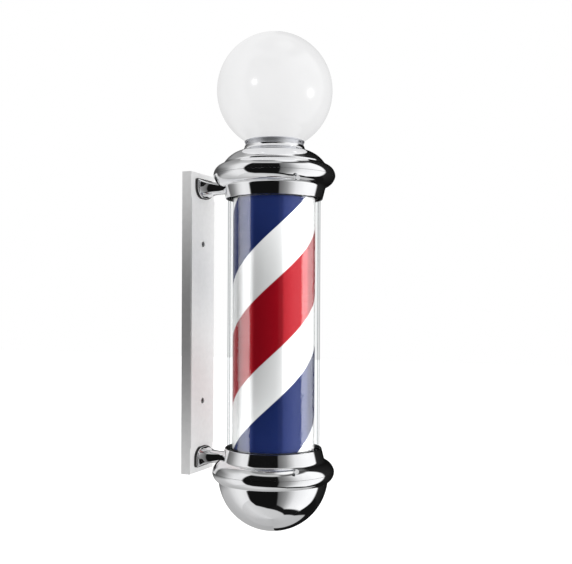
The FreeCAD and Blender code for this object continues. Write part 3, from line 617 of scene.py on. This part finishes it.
def footOutline(shape):
    # The foot's edge as distance from its middle at equal angles: straights and four rounded corners,
    # large ones towards the middle of the plate and small ones outwards.
    width, tall, big, small = (shape[key] for key in ("halfWidth", "halfTall", "roundIn", "roundOut"))
    reach = np.array([big, big, small, small])[:, None]
    cornerX = np.array([big - width, width - big, width - small, small - width])[:, None]
    cornerZ = np.array([big - tall, big - tall, tall - small, tall - small])[:, None]
    turns = np.radians(np.array([180, 270, 0, 90])[:, None] + np.linspace(0, 90, shape["cornerPoints"]))
    ring = np.stack([cornerX + reach * np.cos(turns), cornerZ + reach * np.sin(turns)], axis=-1).reshape(-1, 2)
    onward = np.roll(ring, -1, axis=0)
    share = np.linspace(0, 1, shape["fill"], endpoint=False)[None, :, None]
    ring = (ring[:, None] + (onward - ring)[:, None] * share).reshape(-1, 2)
    angles = np.arctan2(ring[:, 1], ring[:, 0]) % math.tau
    order = np.argsort(angles)
    wanted = np.linspace(0, math.tau, shape["around"], endpoint=False)
    return wanted, np.interp(wanted, angles[order], np.hypot(ring[:, 0], ring[:, 1])[order], period=math.tau)


def armPiece(end, sign):
    # Rings run from the gasket to the collar. Each one's distance is the foot's edge, drawn in by the
    # front edge's quarter round and then mixed with a circle by 1 - (1 - along) squared.
    turns, edge = footOutline(arm)
    soft, hornEnd = arm["edge"], arm["front"] - arm["horn"]
    quarter = np.linspace(0, math.pi / 2, arm["edgeRings"])
    along = np.linspace(0, 1, arm["hornRings"] + 1)[1:]
    straight = np.linspace(hornEnd, arm["neckEnd"], arm["neckRings"] + 1)[1:]
    depth = np.concatenate([
        [arm["back"]], arm["front"] + soft * (1 - np.sin(quarter)), arm["front"] - arm["horn"] * along, straight])
    drawn = np.concatenate([[0], soft * (1 - np.cos(quarter)), np.full(len(along) + len(straight), soft)])
    share = np.concatenate([np.zeros(1 + len(quarter)), 1 - (1 - along) ** 2, np.ones(len(straight))])
    distance = (edge[None, :] - drawn[:, None]) * (1 - share[:, None]) + arm["neck"] * share[:, None]
    centre = np.zeros((1, len(turns)))
    distance = np.vstack([centre, distance, centre])
    depth = np.concatenate([depth[:1], depth, depth[-1:]])
    grid = np.empty((*distance.shape, 3))
    grid[..., 0] = distance * np.cos(turns)
    grid[..., 1] = depth[:, None]
    grid[..., 2] = sign * (arm["height"] + distance * np.sin(turns))
    node = end + "_arm"
    piece = meshFromGrid("chrome_arm_" + end, grid * mm, False, finishes["chrome"], arm["sharpTurn"])
    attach(piece, bodyOf[node])
    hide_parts(node)


armPiece("upper", 1)
armPiece("lower", -1)
print("arms made")

# Every other node keeps its own mesh and gets its finish.
standIns = {"upper_collar", "lower_collar", "top_cap", "globe_fitter", "bottom_dome", "globe", "clear_tube",
            "striped_sleeve", "upper_arm", "lower_arm"}
for node, piece in nodes.items():
    if node in standIns:
        continue
    for slot in piece.material_slots:
        slot.material = finishes[slotOf[node]]
print("finishes given to", len(nodes) - len(standIns), "nodes")

# Camera, three quarters from the left, level with the pole's middle.
viewSpot = {
    "turn": math.radians(-67.0), "distance": 1.560, "height": 0.032, "aside": 0.021, "lens": 56.64,
    "sensor": 36.0, "lift": 0.0402, "roll": math.radians(-0.25), "farthest": 60.0,
}
back = Vector((math.sin(viewSpot["turn"]), -math.cos(viewSpot["turn"]), 0))
right = Vector((math.cos(viewSpot["turn"]), math.sin(viewSpot["turn"]), 0))
cameraData = bpy.data.cameras.new("camera")
cameraData.lens = viewSpot["lens"]
cameraData.sensor_width = viewSpot["sensor"]
cameraData.shift_y = viewSpot["lift"]
cameraData.clip_end = viewSpot["farthest"]
camera = bpy.data.objects.new("camera", cameraData)
camera.location = (Vector((axisX, axisY, viewSpot["height"])) + back * viewSpot["distance"]
                   + right * viewSpot["aside"])
camera.rotation_euler = (math.pi / 2, viewSpot["roll"], viewSpot["turn"])
bpy.context.scene.collection.objects.link(camera)
bpy.context.scene.camera = camera
print("camera placed")

scene = bpy.context.scene
scene.view_settings.view_transform = "Standard"

floorLook = {
    "drop": 0.16, "size": 14.0, "tones": ((0.90, 0.90, 0.90, 1), (0.88, 0.88, 0.88, 1)), "toneSize": 0.8,
    "rough": 0.9, "glow": 0.45,
}


def floorPiece(look):
    material, tree = emptyMaterial("studio_floor")
    tone = put(tree, "ShaderNodeTexNoise")
    plug(tree, tone.inputs["Vector"], objectPoint(tree))
    tone.inputs["Scale"].default_value = look["toneSize"]
    shader = put(tree, "ShaderNodeBsdfPrincipled")
    plug(tree, shader.inputs["Base Color"], blend(tree, tone.outputs[0], *look["tones"]))
    shader.inputs["Roughness"].default_value = look["rough"]
    shader.inputs["Specular IOR Level"].default_value = 0.0
    shader.inputs["Emission Color"].default_value = (1, 1, 1, 1)
    shader.inputs["Emission Strength"].default_value = look["glow"]
    toOutput(tree, shader.outputs[0])
    half, low = look["size"] / 2, cadLow.z - look["drop"]
    corners = [(-half, -half, low), (half, -half, low), (half, half, low), (-half, half, low)]
    mesh = bpy.data.meshes.new("floor")
    mesh.from_pydata(corners, [], [(0, 1, 2, 3)])
    mesh.materials.append(material)
    floor = bpy.data.objects.new("floor", mesh)
    scene.collection.objects.link(floor)
    floor.visible_diffuse = False
    floor.visible_glossy = False


floorPiece(floorLook)

# The surround. A row of grey is (degrees to the right of the camera, grey); floorLine and boxLow are
# (degrees to the right of the camera, degrees from level). Pairs are the two ends of a soft change.
surround = {
    "ring": (  # brightness round the level ring
        (-180, 0.40), (-135, 0.46), (-114, 0.52), (-98, 0.70), (-84, 0.80), (-72, 0.82), (-60, 0.78),
        (-57, 0.006), (10.5, 0.006), (13, 0.13), (21, 0.20), (31, 0.31), (41, 0.54), (52, 0.80), (63, 0.90),
        (75, 0.96), (87, 1.0), (104, 1.0), (109, 0.97), (114, 0.02), (160, 0.008), (180, 0.01)),
    "leftShade": (  # darker near level on the left than lower down
        (-180, 0.28), (-150, 0.16), (-137, 0.16), (-122, 0.30), (-104, 0.46), (-90, 0.80), (-76, 1.0),
        (150, 1.0), (180, 0.28)),
    "floorLine": (  # the floor's glow fills everything under this line
        (-180, -62), (-60, -40), (-50, -52), (-19, -61), (31, -69), (68, -73), (110, -62), (140, -44), (180, -50)),
    "boxLow": (  # the right soft box ends a little above the floor and leaves a dark gap
        (-180, -90), (-62, -90), (12, -53), (40, -61), (100, -54), (116, -30), (180, -30)),
    "sky": (
        (-180, 0.34), (-120, 0.24), (-75, 0.25), (-30, 0.28), (0, 0.36), (20, 0.55), (50, 0.88), (80, 1.0),
        (120, 0.95), (150, 0.5), (180, 0.36)),
    "brow": (  # between the ring and the sky
        (-180, 0.42), (-120, 0.50), (-60, 0.58), (0, 0.60), (14, 0.50), (24, 0.14), (60, 0.10), (110, 0.07),
        (135, 0.10), (160, 0.45), (180, 0.42)),
    "ground": ((-180, 0.46), (-120, 0.50), (-75, 0.68), (-40, 0.60), (60, 0.56), (140, 0.48), (180, 0.46)),
    "wash": (  # soft light for painted and printed surfaces, mostly from the right
        (-180, 0.90), (-120, 0.90), (-60, 0.90), (0, 0.88), (40, 0.92), (110, 1.0), (160, 0.90), (180, 0.72)),
    "floorSoft": (-1.0, 1.5), "gapSoft": (-1.5, 2.0), "gapColour": (0.008, 0.008, 0.008, 1),
    "ringToBrow": (50.0, 58.0), "browToSky": (64.0, 70.0),
    "shadeBelow": (-22.0, -10.0), "shadeAbove": (16.0, 34.0), "shadeLeft": 0.35,
    "white": 1.0, "glossGain": 1.06, "washGain": 1.0,
}


def studioWorld(look):
    # Mirrored rays see the ring, sky and ground; soft light sees the wash; the camera sees plain white.
    world = bpy.data.worlds.new("studio")
    scene.world = world
    world.use_nodes = True
    tree = world.node_tree
    tree.nodes.clear()
    ray = put(tree, "ShaderNodeTexCoord").outputs["Generated"]

    def along(direction):
        node = put(tree, "ShaderNodeVectorMath", operation="DOT_PRODUCT")
        plug(tree, node.inputs[0], ray)
        node.inputs[1].default_value = direction
        return node.outputs["Value"]

    turn = calc(tree, "ARCTAN2", along(right), along(back))
    place = calc(tree, "MULTIPLY_ADD", turn, 1 / math.tau, 0.5)
    lift = calc(tree, "MULTIPLY", calc(tree, "ARCSINE", along(Vector((0, 0, 1)))), 180 / math.pi)

    def greyRound(stops):
        return ramp(tree, place, [((degrees + 180) / 360, grey) for degrees, grey in stops])

    def belowLine(stops, soft):
        # how far a ray is under the line, with the line's height packed from -90..0 degrees into 0..1
        packed = greyRound([(degrees, (90 + height) / 90) for degrees, height in stops])
        line = calc(tree, "MULTIPLY_ADD", packed, 90.0, -90.0)
        return between(tree, calc(tree, "SUBTRACT", line, lift), *soft)

    def background(colour, strength):
        node = put(tree, "ShaderNodeBackground")
        plug(tree, node.inputs["Color"], colour)
        node.inputs["Strength"].default_value = strength
        return node.outputs[0]

    def choose(share, plain, chosen):
        node = put(tree, "ShaderNodeMixShader")
        for target, item in zip(node.inputs, (share, plain, chosen)):
            plug(tree, target, item)
        return node.outputs[0]

    nearLevel = calc(tree, "MULTIPLY", between(tree, lift, *look["shadeBelow"]),
                     between(tree, lift, *look["shadeAbove"], 1.0, look["shadeLeft"]))
    shaded = put(tree, "ShaderNodeMix", data_type="RGBA", blend_type="MULTIPLY")
    shaded.inputs["Factor"].default_value = 1.0
    plug(tree, shaded.inputs[6], greyRound(look["ring"]))
    plug(tree, shaded.inputs[7], blend(tree, nearLevel, (1, 1, 1, 1), greyRound(look["leftShade"])))
    glow = blend(tree, belowLine(look["boxLow"], look["gapSoft"]), shaded.outputs[2], look["gapColour"])
    sky = blend(tree, between(tree, lift, *look["browToSky"]), greyRound(look["brow"]), greyRound(look["sky"]))
    glow = blend(tree, between(tree, lift, *look["ringToBrow"]), glow, sky)
    glow = blend(tree, belowLine(look["floorLine"], look["floorSoft"]), glow, greyRound(look["ground"]))
    path = put(tree, "ShaderNodeLightPath").outputs
    unseen = choose(path["Is Glossy Ray"], background(greyRound(look["wash"]), look["washGain"]),
                    background(glow, look["glossGain"]))
    seen = choose(path["Is Camera Ray"], unseen, background((1, 1, 1, 1), look["white"]))
    plug(tree, put(tree, "ShaderNodeOutputWorld").inputs["Surface"], seen)


studioWorld(surround)

# A black card to the left of the plate that only takes soft light away; it is not seen and not mirrored.
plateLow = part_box("wall_plate")[0]
leftCard = {"beside": 0.14, "forward": 0.01, "deep": 0.60, "tall": 0.34, "colour": (0.004, 0.004, 0.004, 1)}


def darkCard(name, look):
    material, tree = emptyMaterial(name)
    shader = put(tree, "ShaderNodeBsdfDiffuse")
    shader.inputs["Color"].default_value = look["colour"]
    toOutput(tree, shader.outputs[0])
    centre = Vector((plateLow.x - look["beside"], -look["forward"], 0.0))
    side, rise = Vector((0, look["deep"] / 2, 0)), Vector((0, 0, look["tall"] / 2))
    corners = [centre - side - rise, centre + side - rise, centre + side + rise, centre - side + rise]
    mesh = bpy.data.meshes.new(name)
    mesh.from_pydata(corners, [], [(0, 1, 2, 3)])
    mesh.materials.append(material)
    card = bpy.data.objects.new(name, mesh)
    scene.collection.objects.link(card)
    card.visible_camera = False
    card.visible_glossy = False
    card.visible_transmission = False
    card.visible_shadow = False


darkCard("left_card", leftCard)
print("studio made")


def onlyFor(name, *pieces):
    # A lamp with this collection as its receivers lights and is mirrored in these pieces alone.
    collection = bpy.data.collections.new(name)
    for piece in pieces:
        collection.objects.link(bpy.data.objects[piece])
    return collection


globeOnly = onlyFor("globe_only", "opal_globe")
filmOnly = onlyFor("film_only", "striped_drum_film")
tubeOnly = onlyFor("tube_only", "clear_tube_wall")
plateOnly = onlyFor("plate_only", nodes["wall_plate"].name, nodes["face_strip"].name)
globeSpot = Vector((axisX, axisY, (globeHigh.z + globeLow.z) / 2))
drumSpot = Vector((axisX, axisY, 0))

# Each lamp stands at a turn to the right of the camera and a lift, both in degrees, and a reach in
# metres from what it lights. A lamp with one size is round.
lamps = {
    "lamp_left": {"aim": globeSpot, "turn": -38, "lift": 6, "reach": 1.7, "size": (0.20,), "power": 3.0,
                  "receivers": globeOnly},
    "lamp_right": {"aim": globeSpot, "turn": 74, "lift": -6, "reach": 1.7, "size": (0.26,), "power": 5.0,
                   "receivers": globeOnly},
    "film_box_right": {"aim": drumSpot, "turn": 66, "size": (2.7, 2.6), "power": 42.0, "receivers": filmOnly},
    "film_strip_left": {"aim": drumSpot, "turn": -80, "size": (1.0, 2.6), "power": 7.0, "receivers": filmOnly},
    "film_front": {"aim": drumSpot, "turn": -12, "size": (2.0, 2.6), "power": 46.0, "receivers": filmOnly,
                   "mirrored": False},
    "tube_strip_left": {"aim": drumSpot, "turn": -79, "size": (1.05, 2.6), "power": 60.0, "receivers": tubeOnly},
    "tube_strip_right": {"aim": drumSpot, "turn": 96, "size": (1.3, 2.6), "power": 95.0, "receivers": tubeOnly},
    "plate_box_right": {"aim": drumSpot, "turn": 90, "size": (1.2, 2.4), "power": 27.0, "receivers": plateOnly,
                        "mirrored": False, "blockers": plateOnly},
}


def softLamp(name, aim, turn, size, power, receivers, lift=0, reach=1.6, mirrored=True, blockers=None):
    data = bpy.data.lights.new(name, "AREA")
    data.shape = "DISK" if len(size) == 1 else "RECTANGLE"
    data.size, data.size_y = size[0], size[-1]
    data.energy = power
    across, up = math.radians(turn), math.radians(lift)
    level = back * math.cos(across) + right * math.sin(across)
    spot = aim + level * math.cos(up) * reach + Vector((0, 0, math.sin(up) * reach))
    lamp = bpy.data.objects.new(name, data)
    lamp.location = spot
    lamp.rotation_euler = (aim - spot).to_track_quat("-Z", "Y").to_euler()
    lamp.light_linking.receiver_collection = receivers
    lamp.light_linking.blocker_collection = blockers
    lamp.visible_glossy = mirrored
    scene.collection.objects.link(lamp)


for name, lamp in lamps.items():
    softLamp(name, **lamp)
print("lamps made:", len(lamps))
